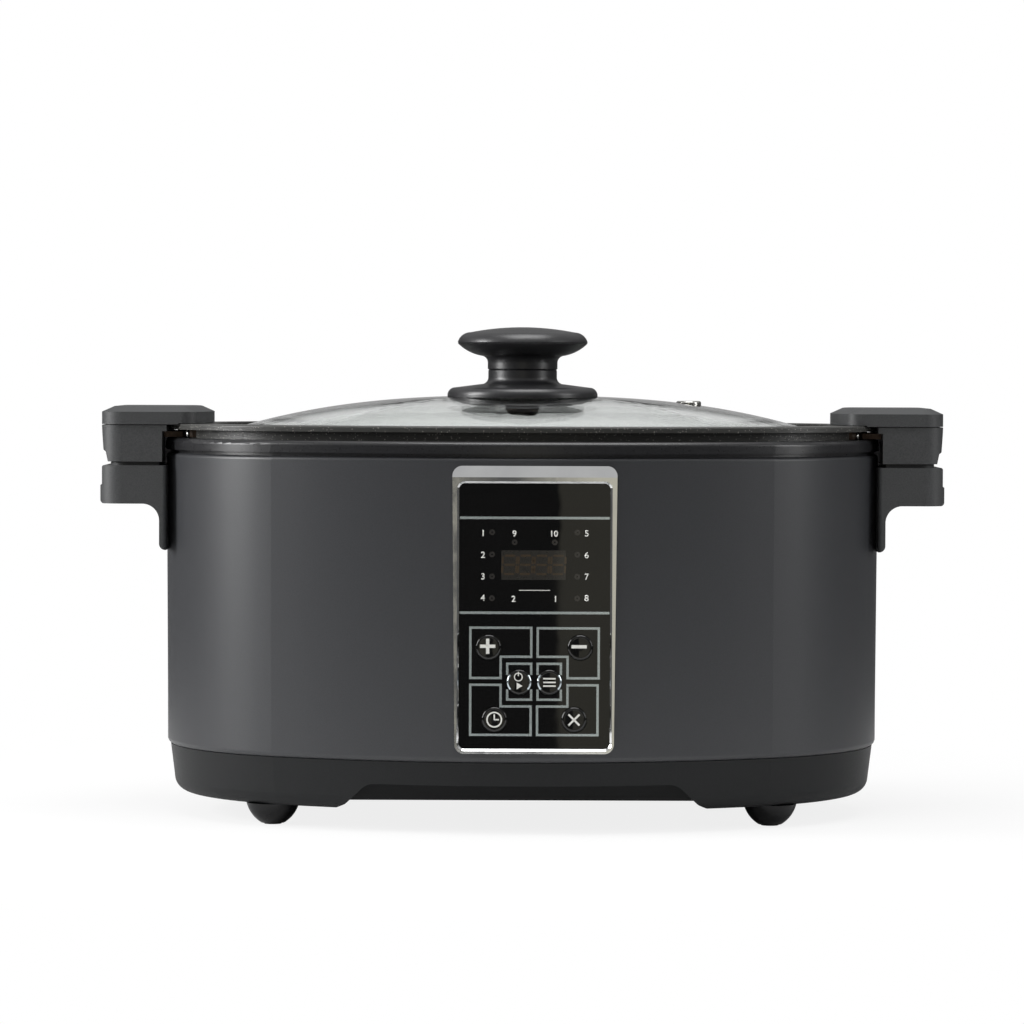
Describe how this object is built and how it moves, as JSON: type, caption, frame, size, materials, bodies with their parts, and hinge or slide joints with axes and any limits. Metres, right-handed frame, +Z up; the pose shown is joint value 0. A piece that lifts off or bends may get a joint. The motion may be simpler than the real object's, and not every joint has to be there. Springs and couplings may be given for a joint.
{
  "type": "slow cooker",
  "caption": "Oval electric slow cooker with a lift-out cast pot, domed glass lid, twin stacked side handles and an upright digital key panel in a bright frame.",
  "frame": {"origin": "on the surface the feet stand on, under the middle of the cooker", "axes": "+X to the user's right along the long side, +Y to the back, +Z up; the panel faces -Y"},
  "size_m": [0.454, 0.2808, 0.2633],
  "materials": {
    "painted_steel": "satin charcoal paint with a fine grain",
    "gloss_black": "polished black",
    "plinth_plastic": "fine moulded texture",
    "handle_plastic": "heat-proof moulding, fine texture",
    "foot_plastic": "smooth moulding",
    "knob_plastic": "satin heat-proof moulding",
    "black_rubber": "matte",
    "pot_coating": "speckled non-stick coating",
    "lid_glass": "clear toughened glass",
    "chrome": "mirror plated",
    "bright_steel": "plain",
    "black_steel": "blackened",
    "aluminised_steel": "rolled sheet",
    "cast_aluminium": "machined casting",
    "ceramic_white": "glazed sleeve",
    "board_green": "lacquered laminate",
    "display_dark": "dark epoxy",
    "amber_lens": "tinted lens",
    "relay_blue": "smooth moulding",
    "inlet_plastic": "moulded nylon",
    "brass": "nickel-free brass",
    "wire_brown": "insulation"
  },
  "bodies": {
    "base": {"base_plinth": "plinth_plastic", "board_pillars": "plinth_plastic", "board_screws": "bright_steel", "control_board": "board_green", "display_module": "display_dark", "foot_front_left": "foot_plastic", "foot_front_right": "foot_plastic", "foot_pads": "black_rubber", "foot_rear_left": "foot_plastic", "foot_rear_right": "foot_plastic", "fuse_clip": "bright_steel", "heat_shield": "aluminised_steel", "heating_element": "bright_steel", "heating_plate": "cast_aluminium", "indicator_lights": "amber_lens", "inlet_pins": "brass", "inner_well": "aluminised_steel", "key_switches": "display_dark", "mains_inlet": "inlet_plastic", "mains_wires": "wire_brown", "outer_shell": "painted_steel", "panel_bezel": "chrome", "panel_carrier": "plinth_plastic", "panel_fascia": "gloss_black", "plate_spacers": "bright_steel", "power_board": "board_green", "power_relay": "relay_blue", "power_transformer": "bright_steel", "sensor_housing": "aluminised_steel", "sensor_spring": "bright_steel", "side_handle_left": "handle_plastic", "side_handle_right": "handle_plastic", "side_handle_screws": "bright_steel", "support_posts": "bright_steel", "thermal_fuse": "ceramic_white", "top_trim_ring": "gloss_black", "underside_screws": "bright_steel"},
    "pot": {"cooking_pot": "pot_coating", "pot_rivets": "bright_steel", "pot_handle_screws": "bright_steel", "pot_brackets": "black_steel", "pot_handle_cap_left": "handle_plastic", "pot_handle_cap_right": "handle_plastic", "pot_handle_left": "handle_plastic", "pot_handle_right": "handle_plastic"},
    "lid": {"lid_glass": "lid_glass", "lid_rim_band": "bright_steel", "steam_vent": "bright_steel", "knob_base": "knob_plastic", "knob_grip": "knob_plastic", "knob_cap": "knob_plastic", "knob_washer": "black_rubber", "knob_screw": "black_steel"},
    "temperature_sensor": {"sensor_plunger": "cast_aluminium"},
    "key_plus": {"key_plus": "gloss_black"},
    "key_minus": {"key_minus": "gloss_black"},
    "key_start": {"key_start": "gloss_black"},
    "key_menu": {"key_menu": "gloss_black"},
    "key_delay": {"key_delay": "gloss_black"},
    "key_cancel": {"key_cancel": "gloss_black"}
  },
  "joints": [
    {"name": "pot_lift", "type": "slide", "parent": "base", "child": "pot", "axis": [0, 0, 1], "range_m": [0, 0.18]},
    {"name": "lid_lift", "type": "slide", "parent": "pot", "child": "lid", "axis": [0, 0, 1], "range_m": [0, 0.12]},
    {"name": "sensor_press", "type": "slide", "parent": "base", "child": "temperature_sensor", "axis": [0, 0, -1], "range_m": [0, 0.003], "stiffness_N_per_m": 400, "springref_m": -0.004, "deforming": ["sensor_spring"]},
    {"name": "press_plus", "type": "slide", "parent": "base", "child": "key_plus", "axis": [0, 1, 0], "range_m": [0, 0.0008], "stiffness_N_per_m": 1500, "springref_m": -0.0004},
    {"name": "press_minus", "type": "slide", "parent": "base", "child": "key_minus", "axis": [0, 1, 0], "range_m": [0, 0.0008], "stiffness_N_per_m": 1500, "springref_m": -0.0004},
    {"name": "press_start", "type": "slide", "parent": "base", "child": "key_start", "axis": [0, 1, 0], "range_m": [0, 0.0008], "stiffness_N_per_m": 1500, "springref_m": -0.0004},
    {"name": "press_menu", "type": "slide", "parent": "base", "child": "key_menu", "axis": [0, 1, 0], "range_m": [0, 0.0008], "stiffness_N_per_m": 1500, "springref_m": -0.0004},
    {"name": "press_delay", "type": "slide", "parent": "base", "child": "key_delay", "axis": [0, 1, 0], "range_m": [0, 0.0008], "stiffness_N_per_m": 1500, "springref_m": -0.0004},
    {"name": "press_cancel", "type": "slide", "parent": "base", "child": "key_cancel", "axis": [0, 1, 0], "range_m": [0, 0.0008], "stiffness_N_per_m": 1500, "springref_m": -0.0004}
  ]
}
